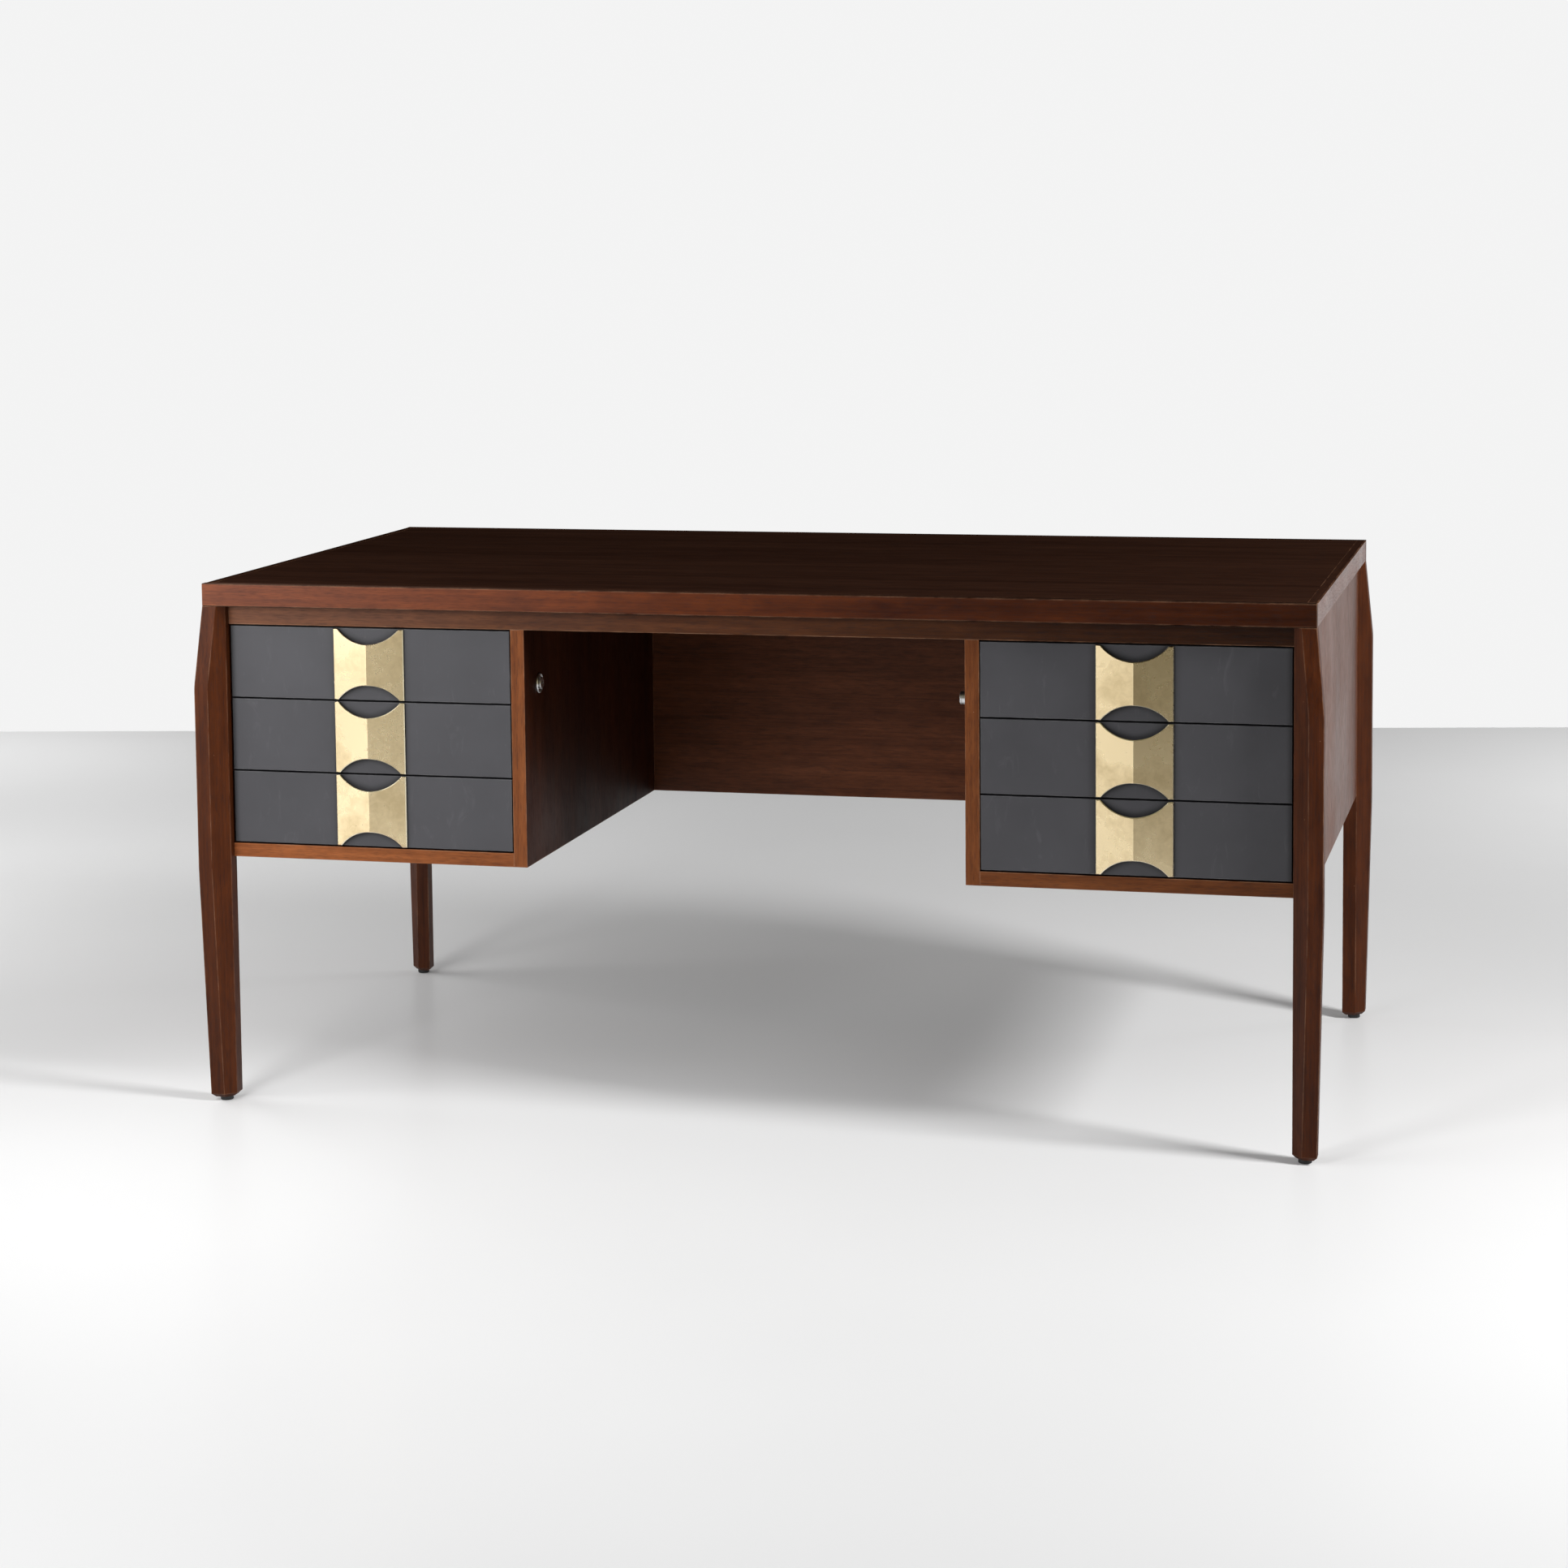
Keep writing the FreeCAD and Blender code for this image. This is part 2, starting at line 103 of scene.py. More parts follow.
def add(tree, kind, inputs=None, **settings):
    """One shader node, with its settings, and its inputs joined to sockets or set to values."""
    node = tree.nodes.new("ShaderNode" + kind)
    for key, value in settings.items():
        setattr(node, key, value)
    for key, value in (inputs or {}).items():
        join(tree, value, node.inputs[key])
    return node


def join(tree, value, socket):
    if isinstance(value, bpy.types.NodeSocket):
        tree.links.new(value, socket)
    else:
        socket.default_value = value


def calc(tree, operation, a, b=0.0):
    return add(tree, "Math", {0: a, 1: b}, operation=operation).outputs[0]


def times(tree, a, b):
    return calc(tree, "MULTIPLY", a, b)


def remap(tree, value, low, high, to_low=0.0, to_high=1.0):
    inputs = {"Value": value, "From Min": low, "From Max": high, "To Min": to_low, "To Max": to_high}
    return add(tree, "MapRange", inputs).outputs[0]


def blend(tree, share, a, b):
    """Colour a turning into colour b as share goes from 0 to 1."""
    inputs = {0: share, 6: solid(a), 7: solid(b)}
    return add(tree, "Mix", inputs, data_type="RGBA").outputs[2]


def choose(tree, share, a, b):
    """Number a turning into number b as share goes from 0 to 1."""
    return add(tree, "Mix", {0: share, 2: a, 3: b}, data_type="FLOAT").outputs[0]


def solid(colour):
    return colour if isinstance(colour, bpy.types.NodeSocket) else (*colour, 1.0)


def scaled(colour, factor):
    return tuple(factor * channel for channel in colour)


def noise(tree, vector, scale, detail, roughness, distortion=0.0):
    inputs = {"Vector": vector, "Scale": scale, "Detail": detail, "Roughness": roughness,
              "Distortion": distortion}
    return add(tree, "TexNoise", inputs).outputs[0]


def grain(tree, vector, axis, along, across, **pattern):
    """Noise drawn out along one axis."""
    scale = [across] * 3
    scale[axis] = along
    drawn_out = add(tree, "Mapping", {"Vector": vector, "Scale": scale}, vector_type="POINT").outputs[0]
    return noise(tree, drawn_out, **pattern)


def new_material(name):
    material = bpy.data.materials.new(name)
    material.use_nodes = True
    return material, material.node_tree, material.node_tree.nodes["Principled BSDF"]


def piece_place(tree):
    """A point on the piece, moved by a different amount for each piece so that no two match."""
    point = add(tree, "TexCoord").outputs["Object"]
    shift = times(tree, add(tree, "ObjectInfo").outputs["Random"], PIECE_SHIFT)
    shifts = add(tree, "CombineXYZ", {"X": shift, "Y": shift, "Z": shift}).outputs[0]
    return add(tree, "VectorMath", {0: point, 1: shifts}, operation="ADD").outputs[0]


def edge_share(tree, radius):
    """0 on open faces and up to 1 beside the outer edges of a piece."""
    rounded = add(tree, "Bevel", {"Radius": radius}, samples=EDGE_SAMPLES).outputs[0]
    flat = add(tree, "NewGeometry").outputs["True Normal"]
    match = add(tree, "VectorMath", {0: rounded, 1: flat}, operation="DOT_PRODUCT").outputs["Value"]
    return remap(tree, match, *EDGE_LIMITS)


def facing(tree, axis):
    """How squarely a face looks along an axis, either way: 0 edge on and 1 square on."""
    normal = add(tree, "NewGeometry").outputs["True Normal"]
    return calc(tree, "ABSOLUTE", add(tree, "SeparateXYZ", {0: normal}).outputs[axis])


def specks(tree, vector, scale, size):
    """A scatter of tiny marks."""
    cells = add(tree, "TexVoronoi", {"Vector": vector, "Scale": scale, "Randomness": 1.0})
    dot = remap(tree, cells.outputs["Distance"], size, size * SPECK_CORE)
    chosen = add(tree, "SeparateXYZ", {0: cells.outputs["Color"]}).outputs[0]
    return times(tree, dot, calc(tree, "GREATER_THAN", chosen, SPECK_CHOICE))


def bumped(tree, height, strength, distance, arris=ARRIS_RADIUS):
    """The way that a face looks, with relief on it and its edges rounded."""
    inputs = {"Height": height, "Strength": strength, "Distance": distance}
    inputs["Normal"] = add(tree, "Bevel", {"Radius": arris}, samples=EDGE_SAMPLES).outputs[0]
    return add(tree, "Bump", inputs).outputs[0]


# Colours

EDGING_DARK = (0.030, 0.0053, 0.0009)
EDGING_LIGHT = (0.126, 0.0280, 0.0052)
RAIL_DARK = (0.026, 0.0066, 0.0018)
RAIL_LIGHT = (0.108, 0.0355, 0.0113)
RED_WORN = (0.36, 0.19, 0.11)
# Painted sheen: a pale grey laid over the wood's colour, standing in for glare
PAINTED_SHEEN = (0.150, 0.125, 0.110)
LEG_DARK = (0.0255, 0.0051, 0.0010)
LEG_LIGHT = (0.098, 0.0245, 0.0058)
PANEL_DARK = (0.030, 0.0068, 0.0022)
PANEL_LIGHT = (0.130, 0.0380, 0.0130)
# Painted shade: the reddish veneer made much darker for the inner panels facing the kneehole and for the
# pedestal bottoms
SHADED_INNER_DARK = (0.0085, 0.0015, 0.0004)
SHADED_INNER_LIGHT = (0.046, 0.0112, 0.0033)
LEVEL_DARK = (0.032, 0.0078, 0.0027)
LEVEL_LIGHT = (0.125, 0.0380, 0.0145)
TOP_DARK = (0.0165, 0.0062, 0.0036)
TOP_LIGHT = (0.043, 0.0180, 0.0104)
ORANGE_DARK = (0.085, 0.0220, 0.0055)
ORANGE_LIGHT = (0.260, 0.0830, 0.0240)
BEECH_DARK = (0.33, 0.20, 0.105)
BEECH_LIGHT = (0.50, 0.34, 0.20)
PLY_DARK = (0.40, 0.28, 0.17)
PLY_LIGHT = (0.58, 0.44, 0.29)
CHARCOAL = (0.056, 0.0552, 0.0610)
CHARCOAL_PALE = (0.30, 0.30, 0.31)
BRASS = (0.89, 0.73, 0.46)
BRASS_TARNISH = (0.50, 0.365, 0.17)
# The pulls' side faces are darker, and their bevels carry a painted highlight
BRASS_SIDE_DARK = (0.10, 0.066, 0.030)
BRASS_PAINTED_HIGHLIGHT = (1.0, 0.92, 0.72)
CHROME = (0.70, 0.70, 0.70)
CHROME_DULL = (0.42, 0.41, 0.40)
STEEL = (0.50, 0.50, 0.51)
STEEL_DULL = (0.30, 0.29, 0.28)
BLACK = (0.012, 0.012, 0.013)

# Wood: the layers of its grain, by waves along and across it, and how they add up to its tone
BROAD_FIGURE = {"along": 0.55, "across": 9.0, "scale": 1.6, "detail": 4.0, "roughness": 0.55,
                "distortion": 0.9}
STRIPES = {"along": 3.0, "across": 150.0, "scale": 1.4, "detail": 4.0, "roughness": 0.6, "distortion": 0.35}
CURL = {"along": 16.0, "across": 55.0, "scale": 1.0, "detail": 3.0, "roughness": 0.6, "distortion": 0.5}
PORES = {"along": 60.0, "across": 900.0, "scale": 1.0, "detail": 2.0, "roughness": 0.5}
BROAD_SHARE = 0.5
STRIPE_SHARE = 0.4
CURL_SHARE = 0.35
TONE_LIMITS = (0.42, 0.86)
PORE_LIMITS = (0.50, 0.64)
PORE_SHARE = 0.5
PORE_DARKNESS = 0.6
STRIP_FACING = 0.7
# Painted light: where the painted sheen lies along X, and how much of the colour it covers
PAINTED_SHEEN_LIMITS = (-0.10, -0.80)
PAINTED_SHEEN_SHARE = 0.15
WOOD_RUB = {"scale": 24.0, "detail": 4.0, "roughness": 0.65}
WOOD_RUB_LIMITS = (0.36, 0.62)
WOOD_CHIPS = {"scale": 46.0, "size": 0.035}
WOOD_CHIP_SHARE = 0.6
WOOD_DULL = {"scale": 5.0, "detail": 3.0, "roughness": 0.6}
WOOD_SHINIER = 0.07
WOOD_DULLER = 0.08
PORE_ROUGHNESS = 0.12
STRIPE_RELIEF = 0.35
WOOD_BUMP = {"strength": 0.16, "distance": 0.0004}


def wood(name, axis, dark, light, worn, gloss=0.42, specular=0.14, wear=0.7, figure=1.0, strips=None,
         painted_light_slope=0.0, painted_sheen_share=0.0):
    """Straight-grained hardwood: broad figure, narrow stripes and fine pores along one axis.

    The strips, where given, are an axis and the dark colour, the light colour and the specular level
    of the faces that look along it. The painted light slope says how fast the colour is painted brighter
    towards the left end and darker towards the right, as the light falls, and the painted sheen share
    what share of the colour is painted over with a pale grey sheen at the left end.
    """
    material, tree, shader = new_material(name)
    place = piece_place(tree)
    broad = times(tree, grain(tree, place, axis, **BROAD_FIGURE), BROAD_SHARE * figure)
    stripes = grain(tree, place, axis, **STRIPES)
    curl = times(tree, grain(tree, place, axis, **CURL), CURL_SHARE)
    pores = remap(tree, grain(tree, place, axis, **PORES), *PORE_LIMITS)
    tone = calc(tree, "ADD", broad, times(tree, stripes, STRIPE_SHARE))
    tone = remap(tree, calc(tree, "ADD", tone, curl), *TONE_LIMITS)
    colour = blend(tree, tone, dark, light)
    shine = specular
    if strips:
        strip_axis, strip_dark, strip_light, strip_shine = strips
        on_strip = calc(tree, "GREATER_THAN", facing(tree, strip_axis), STRIP_FACING)
        colour = blend(tree, on_strip, colour, blend(tree, tone, strip_dark, strip_light))
        shine = remap(tree, on_strip, 0.0, 1.0, specular, strip_shine)
    # Painted light: brighter towards the left end and darker towards the right, as the light falls, with a
    # pale painted sheen at the left end
    if painted_light_slope:
        along = add(tree, "SeparateXYZ", {0: add(tree, "TexCoord").outputs["Object"]}).outputs["X"]
        painted_brightening = calc(tree, "POWER", 2.0, times(tree, along, -painted_light_slope))
        colour = add(tree, "VectorMath", {0: colour, "Scale": painted_brightening}, operation="SCALE").outputs[0]
        colour = blend(tree, remap(tree, along, *PAINTED_SHEEN_LIMITS, 0.0, painted_sheen_share), colour, PAINTED_SHEEN)
    in_pores = blend(tree, PORE_DARKNESS, colour, BLACK)
    colour = blend(tree, times(tree, pores, PORE_SHARE), colour, in_pores)
    wear_and_highlight = remap(tree, noise(tree, place, **WOOD_RUB), *WOOD_RUB_LIMITS)
    edge = times(tree, edge_share(tree, WEAR_RADIUS), wear_and_highlight)
    colour = blend(tree, times(tree, edge, wear), colour, worn)
    chips = times(tree, specks(tree, place, **WOOD_CHIPS), WOOD_CHIP_SHARE)
    join(tree, blend(tree, chips, colour, worn), shader.inputs["Base Color"])
    dull = noise(tree, place, **WOOD_DULL)
    rough = remap(tree, dull, *MIDDLE_LIMITS, gloss - WOOD_SHINIER, gloss + WOOD_DULLER)
    rough = calc(tree, "ADD", rough, times(tree, pores, PORE_ROUGHNESS))
    join(tree, rough, shader.inputs["Roughness"])
    join(tree, shine, shader.inputs["Specular IOR Level"])
    relief = calc(tree, "SUBTRACT", times(tree, stripes, STRIPE_RELIEF), pores)
    join(tree, bumped(tree, relief, **WOOD_BUMP), shader.inputs["Normal"])
    return material


# Paint: cloudy shade, scuffs, rubbed edges, chips and grit
PAINT_CLOUD = {"scale": 6.0, "detail": 4.0, "roughness": 0.6}
PAINT_DARKER = 0.88
PAINT_LIGHTER = 1.1
PAINT_SCUFFS = {"along": 12.0, "across": 40.0, "scale": 1.0, "detail": 5.0, "roughness": 0.7,
                "distortion": 1.5}
PAINT_SCUFF_LIMITS = (0.58, 0.74)
PAINT_SCUFF_SHARE = 0.07
PAINT_RUB = {"scale": 40.0, "detail": 3.0, "roughness": 0.6}
PAINT_RUB_LIMITS = (0.4, 0.62)
PAINT_WEAR = 0.75
PAINT_CHIPS = {"scale": 60.0, "size": 0.03}
PAINT_CHIP_SHARE = 0.35
# Painted shade: how strongly the paint is darkened where other surfaces close in
PAINTED_SHADE_LIMITS = (0.97, 0.75)
PAINTED_SHADE_SHARE = 0.65
PAINT_ROUGHNESS = (0.42, 0.54)
PAINT_SPECULAR = 0.3
PAINT_GRIT = {"scale": 700.0, "detail": 2.0, "roughness": 0.6}
PAINT_BUMP = {"strength": 0.10, "distance": 0.0002}


def lacquer(name, colour, pale):
    """Thin satin paint on board, with faint scuffs, paler rubbed edges and painted shade in the corners
    around the fittings.
    """
    material, tree, shader = new_material(name)
    place = piece_place(tree)
    cloud = noise(tree, place, **PAINT_CLOUD)
    scuffs = remap(tree, grain(tree, place, Z, **PAINT_SCUFFS), *PAINT_SCUFF_LIMITS)
    shade = blend(tree, remap(tree, cloud, *MIDDLE_LIMITS), scaled(colour, PAINT_DARKER),
                  scaled(colour, PAINT_LIGHTER))
    shade = blend(tree, times(tree, scuffs, PAINT_SCUFF_SHARE), shade, pale)
    wear_and_highlight = remap(tree, noise(tree, place, **PAINT_RUB), *PAINT_RUB_LIMITS)
    edge = times(tree, edge_share(tree, PAINT_WEAR_RADIUS), wear_and_highlight)
    shade = blend(tree, times(tree, edge, PAINT_WEAR), shade, pale)
    chips = times(tree, specks(tree, place, **PAINT_CHIPS), PAINT_CHIP_SHARE)
    shade = blend(tree, chips, shade, pale)
    # Painted shade: the paint is darker where other surfaces close in, around the pulls and in the gaps
    # between parts
    occlusion = add(tree, "AmbientOcclusion", {"Distance": PAINTED_SHADE_REACH}, samples=PAINTED_SHADE_SAMPLES).outputs["AO"]
    painted_shade = remap(tree, occlusion, *PAINTED_SHADE_LIMITS, 0.0, PAINTED_SHADE_SHARE)
    join(tree, blend(tree, painted_shade, shade, BLACK), shader.inputs["Base Color"])
    rough = remap(tree, cloud, *MIDDLE_LIMITS, *PAINT_ROUGHNESS)
    join(tree, rough, shader.inputs["Roughness"])
    shader.inputs["Specular IOR Level"].default_value = PAINT_SPECULAR
    grit = noise(tree, place, **PAINT_GRIT)
    join(tree, bumped(tree, grit, **PAINT_BUMP), shader.inputs["Normal"])
    return material


# Metal: clouds and blotches of tarnish, dark specks, and brush lines
TARNISH_CLOUD = {"scale": 14.0, "detail": 3.0, "roughness": 0.5, "distortion": 0.4}
TARNISH_BLOTCHES = {"scale": 85.0, "detail": 4.0, "roughness": 0.65, "distortion": 0.6}
BLOTCH_SHARE = 0.5
TARNISH_LIMITS = (0.69, 0.95)
EDGE_CLEANING = 0.8
# Faces turned further from Y than the first limit carry the painted highlight on the bevels; past the second
# they are the darker side faces
BEVEL_FACING = 0.93
SIDE_FACING = 0.4
METAL_SPECKS = {"scale": 90.0, "size": 0.07}
METAL_SPECK_SHARE = 0.5
BRUSH_LINES = {"along": 18.0, "across": 1500.0, "scale": 1.0, "detail": 2.0, "roughness": 0.5}
METAL_BUMP = {"strength": 0.04, "distance": 0.00005, "arris": METAL_ARRIS}


def metal(name, bright, tarnish, clean_rough, tarnish_rough, patches, brushed_axis=None, sides=None):
    """Bare metal with cloudy, mottled tarnish and a few dark specks, cleaner along its edges.

    The sides, where given, are the colours of the darker side faces and of the painted highlight on the
    bevels that run along them.
    """
    material, tree, shader = new_material(name)
    place = piece_place(tree)
    cloud = noise(tree, place, **TARNISH_CLOUD)
    blotches = times(tree, noise(tree, place, **TARNISH_BLOTCHES), BLOTCH_SHARE)
    dirt = remap(tree, calc(tree, "ADD", cloud, blotches), *TARNISH_LIMITS)
    cleaned = times(tree, edge_share(tree, METAL_ARRIS), EDGE_CLEANING)
    dirt = times(tree, times(tree, dirt, patches), calc(tree, "SUBTRACT", 1.0, cleaned))
    colour = blend(tree, dirt, bright, tarnish)
    if sides:
        # Painted highlight on the bevels along the sides, and darker side faces
        dark_side, wear_and_highlight = sides
        square = facing(tree, Y)
        colour = blend(tree, calc(tree, "LESS_THAN", square, BEVEL_FACING), colour, wear_and_highlight)
        colour = blend(tree, calc(tree, "LESS_THAN", square, SIDE_FACING), colour, dark_side)
    marks = times(tree, specks(tree, place, **METAL_SPECKS), METAL_SPECK_SHARE)
    join(tree, blend(tree, marks, colour, BLACK), shader.inputs["Base Color"])
    join(tree, remap(tree, dirt, 0.0, 1.0, clean_rough, tarnish_rough), shader.inputs["Roughness"])
    shader.inputs["Metallic"].default_value = 1.0
    height = cloud
    if brushed_axis is not None:
        height = grain(tree, place, brushed_axis, **BRUSH_LINES)
    join(tree, bumped(tree, height, **METAL_BUMP), shader.inputs["Normal"])
    return material


# Plastic: moulded texture under a little dust
MOULDED = {"scale": 900.0, "detail": 2.0, "roughness": 0.5}
DUST = {"scale": 120.0, "detail": 3.0, "roughness": 0.6}
DUST_LIMITS = (0.5, 0.75)
DUST_SHARE = 0.3
DUST_PALENESS = 3.0
DUST_ROUGHNESS = 0.2
PLASTIC_BUMP = {"strength": 0.2, "distance": 0.0002}


def plastic(name, colour, rough):
    """Moulded plastic with a fine texture and dust on it."""
    material, tree, shader = new_material(name)
    place = piece_place(tree)
    dust = remap(tree, noise(tree, place, **DUST), *DUST_LIMITS)
    shade = blend(tree, times(tree, dust, DUST_SHARE), colour, scaled(colour, DUST_PALENESS))
    join(tree, shade, shader.inputs["Base Color"])
    join(tree, remap(tree, dust, 0.0, 1.0, rough, rough + DUST_ROUGHNESS), shader.inputs["Roughness"])
    moulded = noise(tree, place, **MOULDED)
    join(tree, bumped(tree, moulded, **PLASTIC_BUMP), shader.inputs["Normal"])
    return material


# Finishes. The edging has the top's veneer on its upper and lower faces, and the boards of the pedestals
# show paler wood at their front and rear edges.
VENEERED = (Z, TOP_DARK, TOP_LIGHT, 0.0)
PALE_FRONT = (Y, ORANGE_DARK, ORANGE_LIGHT, 0.14)

top_wood = wood("top_veneer", X, TOP_DARK, TOP_LIGHT, EDGING_DARK, gloss=0.5, specular=0.0, wear=0.3)
# The edging, the rail, the inner panels and the pedestal bottoms are painted brighter towards the left end.
# The edging and the rail also get a painted sheen there.
edging_wood = wood("edging_long_wood", X, EDGING_DARK, EDGING_LIGHT, RED_WORN, strips=VENEERED,
                   painted_light_slope=1.5, painted_sheen_share=PAINTED_SHEEN_SHARE)
end_edging_wood = wood("edging_short_wood", Y, EDGING_DARK, EDGING_LIGHT, RED_WORN, gloss=0.30, specular=0.70,
                       strips=VENEERED)
rail_wood = wood("rail_wood", X, RAIL_DARK, RAIL_LIGHT, RED_WORN, painted_light_slope=1.45, painted_sheen_share=PAINTED_SHEEN_SHARE)
leg_wood = wood("leg_wood", Z, LEG_DARK, LEG_LIGHT, RED_WORN, gloss=0.44)
panel_wood = wood("panel_veneer", Z, PANEL_DARK, PANEL_LIGHT, RED_WORN, gloss=0.36, specular=0.33)
# The inner panels and the pedestal bottoms wear the veneer darkened as painted shade.
inner_wood = wood("inner_panel_wood", Z, SHADED_INNER_DARK, SHADED_INNER_LIGHT, RED_WORN, gloss=0.44, specular=0.05,
                  strips=PALE_FRONT, painted_light_slope=0.4)
level_wood = wood("level_veneer", X, LEVEL_DARK, LEVEL_LIGHT, RED_WORN, specular=0.12, figure=1.2)
bottom_wood = wood("bottom_wood", X, SHADED_INNER_DARK, SHADED_INNER_LIGHT, RED_WORN, strips=PALE_FRONT, painted_light_slope=0.8)
runner_wood = wood("runner_wood", Y, BEECH_DARK, BEECH_LIGHT, BEECH_LIGHT, gloss=0.55, specular=0.3)
box_wood = wood("drawer_side_wood", Y, BEECH_DARK, BEECH_LIGHT, BEECH_LIGHT, gloss=0.5)
ply_wood = wood("drawer_bottom_ply", X, PLY_DARK, PLY_LIGHT, PLY_LIGHT, gloss=0.6, specular=0.3, wear=0.2)
grey = lacquer("charcoal_lacquer", CHARCOAL, CHARCOAL_PALE)
brass = metal("aged_brass", BRASS, BRASS_TARNISH, clean_rough=0.27, tarnish_rough=0.33, patches=0.45,
              sides=(BRASS_SIDE_DARK, BRASS_PAINTED_HIGHLIGHT))
chrome = metal("worn_chrome", CHROME, CHROME_DULL, clean_rough=0.30, tarnish_rough=0.42, patches=0.6)
steel = metal("plain_steel", STEEL, STEEL_DULL, clean_rough=0.30, tarnish_rough=0.48, patches=0.8,
              brushed_axis=Z)
black = plastic("black_glide", BLACK, rough=0.5)

# Which finish each piece wears, by the start or the end of its name
FINISH_BY_START = [
    ("top_panel", top_wood),
    ("top_edging_long", edging_wood),
    ("top_edging_short", end_edging_wood),
    ("top_cleats", runner_wood),
    ("front_rail", rail_wood),
    ("rear_rail", rail_wood),
    ("leg_glides", black),
    ("leg_", leg_wood),
    ("end_panel", panel_wood),
    ("inner_panel", inner_wood),
    ("modesty_panel", level_wood),
    ("pedestal_back", level_wood),
    ("pedestal_bottom", bottom_wood),
    ("runners", runner_wood),
    ("lock_bezel", chrome),
    ("lock_cylinder", chrome),
    ("lock_bar", steel),
]
FINISH_BY_END = [
    ("_front", grey),
    ("_box", box_wood),
    ("_bottom", ply_wood),
    ("_pull", brass),
    ("_fixings", steel),
]


def finish_of(name):
    for start, material in FINISH_BY_START:
        if name.startswith(start):
            return material
    for end, material in FINISH_BY_END:
        if name.endswith(end):
            return material
    raise ValueError("no finish for " + name)


for name, node in nodes.items():
    material = finish_of(name)
    for slot in node.material_slots:
        slot.material = material


# Studio


def floor():
    """A level floor whose near and far edges lie square to the camera."""
    below_camera = Vector((CAMERA_PLACE[0], CAMERA_PLACE[1], 0.0))
    turn = Matrix.Rotation(FLOOR_YAW, 3, "Z")
    edges = [(-FLOOR_HALF_WIDTH, FLOOR_NEAR), (FLOOR_HALF_WIDTH, FLOOR_NEAR),
             (FLOOR_HALF_WIDTH, FLOOR_FAR), (-FLOOR_HALF_WIDTH, FLOOR_FAR)]
    corners = [below_camera + turn @ Vector((across, ahead, 0.0)) for across, ahead in edges]
    mesh = bpy.data.meshes.new("studio_floor")
    mesh.from_pydata(corners, [], [(0, 1, 2, 3)])
    plane = bpy.data.objects.new("studio_floor", mesh)
    bpy.context.scene.collection.objects.link(plane)
    material, tree, shader = new_material("studio_floor")
    point = add(tree, "TexCoord").outputs["Object"]
    mottle = remap(tree, noise(tree, point, **FLOOR_MOTTLE), *MIDDLE_LIMITS)
    colour = blend(tree, mottle, scaled(FLOOR_COLOUR, 1.0 - FLOOR_MOTTLE_SHARE),
                   scaled(FLOOR_COLOUR, 1.0 + FLOOR_MOTTLE_SHARE))
    join(tree, colour, shader.inputs["Base Color"])
    shader.inputs["Roughness"].default_value = FLOOR_ROUGHNESS
    shader.inputs["Specular IOR Level"].default_value = FLOOR_SPECULAR
    mesh.materials.append(material)


def lamp(name, place, size, power, target=LIGHT_TARGET, spread=math.pi, mirrored=False, lighting=True):
    """A rectangle of light, seen in shiny surfaces only where it is mirrored.

    One that isn't lighting is seen in shiny surfaces alone.
    """
    data = bpy.data.lights.new(name, "AREA")
    data.shape = "RECTANGLE"
    data.size, data.size_y = size
    data.energy = power
    data.spread = spread
    light = bpy.data.objects.new(name, data)
    light.location = place
    light.visible_camera = False
    light.visible_glossy = mirrored
    light.visible_diffuse = lighting
    light.rotation_euler = (Vector(target) - Vector(place)).to_track_quat("-Z", "Y").to_euler()
    bpy.context.scene.collection.objects.link(light)


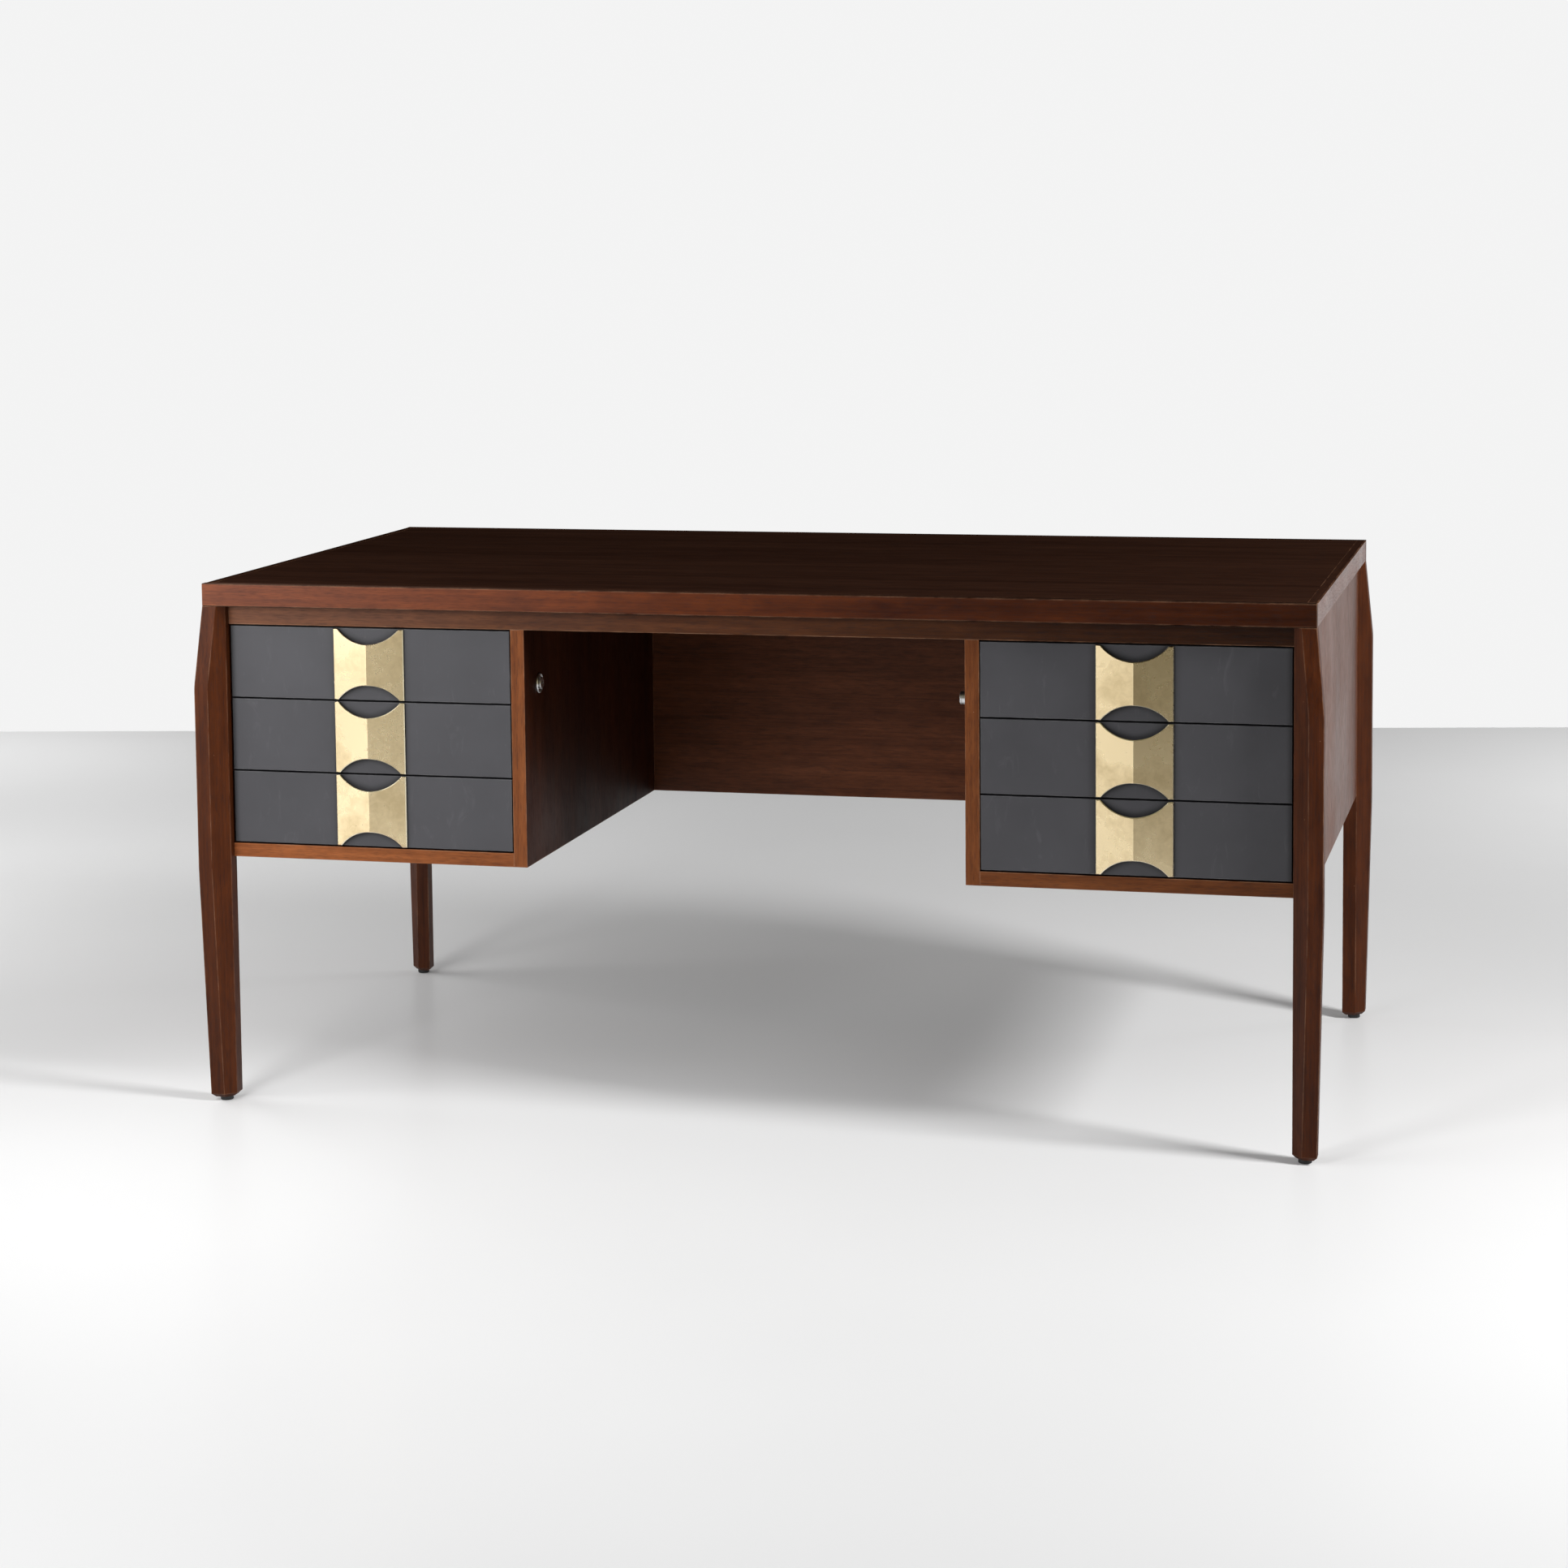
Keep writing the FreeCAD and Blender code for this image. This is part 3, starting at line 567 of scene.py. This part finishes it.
def studio_world():
    """A pale backdrop, and weaker light from all around that is strongest low down behind the desk.

    Shiny surfaces show the backdrop, a dim warm room in front of it and a pale flat on the right.
    """
    world = bpy.data.worlds.new("studio")
    bpy.context.scene.world = world
    world.use_nodes = True
    tree = world.node_tree
    background = tree.nodes["Background"]
    way = add(tree, "TexCoord").outputs["Generated"]
    parts = add(tree, "SeparateXYZ", {0: way}).outputs
    shown = remap(tree, parts["Y"], *ROOM_TO_BACKDROP_Y, ROOM_LEVEL, MIRROR_LEVEL)
    shown = calc(tree, "MAXIMUM", shown, remap(tree, parts["X"], *FLAT_FROM_X, 0.0, FLAT_LEVEL))
    ambient = remap(tree, parts["Y"], *AMBIENT_FRONT_TO_LOW_Y, AMBIENT_FRONT, AMBIENT_LOW)
    high = remap(tree, parts["Z"], *AMBIENT_HIGH_FROM_Z, 0.0, AMBIENT_HIGH)
    low = remap(tree, parts["Z"], *AMBIENT_BEHIND_UP_TO_Z, AMBIENT_BEHIND, 0.0)
    behind = times(tree, remap(tree, parts["Y"], *AMBIENT_BEHIND_FROM_Y), low)
    ambient = calc(tree, "MAXIMUM", calc(tree, "MAXIMUM", ambient, high), behind)
    path = add(tree, "LightPath").outputs
    mirror = calc(tree, "MAXIMUM", path["Is Glossy Ray"], path["Is Transmission Ray"])
    level = choose(tree, mirror, ambient, shown)
    level = choose(tree, path["Is Camera Ray"], level, BACKDROP_LEVEL)
    join(tree, level, background.inputs["Strength"])
    in_front = times(tree, mirror, remap(tree, parts["Y"], *ROOM_TO_BACKDROP_Y, 1.0, 0.0))
    join(tree, blend(tree, in_front, WHITE, ROOM_TINT), background.inputs["Color"])


def camera():
    data = bpy.data.cameras.new("camera")
    data.sensor_width = SENSOR_MM
    data.lens = FOCAL_PIXELS * SENSOR_MM / IMAGE_SIDE
    data.shift_x = (IMAGE_SIDE / 2 - CENTRE_PIXELS[0]) / IMAGE_SIDE
    data.shift_y = (CENTRE_PIXELS[1] - IMAGE_SIDE / 2) / IMAGE_SIDE
    shot = bpy.data.objects.new("camera", data)
    turn = (Matrix.Rotation(CAMERA_YAW, 4, "Z") @ Matrix.Rotation(math.pi / 2 - CAMERA_PITCH, 4, "X")
            @ Matrix.Rotation(CAMERA_ROLL, 4, "Z"))
    shot.matrix_world = Matrix.Translation(CAMERA_PLACE) @ turn
    bpy.context.scene.collection.objects.link(shot)
    bpy.context.scene.camera = shot


floor()
for settings in LAMPS:
    lamp(**settings)
studio_world()
camera()
bpy.context.scene.view_settings.view_transform = "Standard"
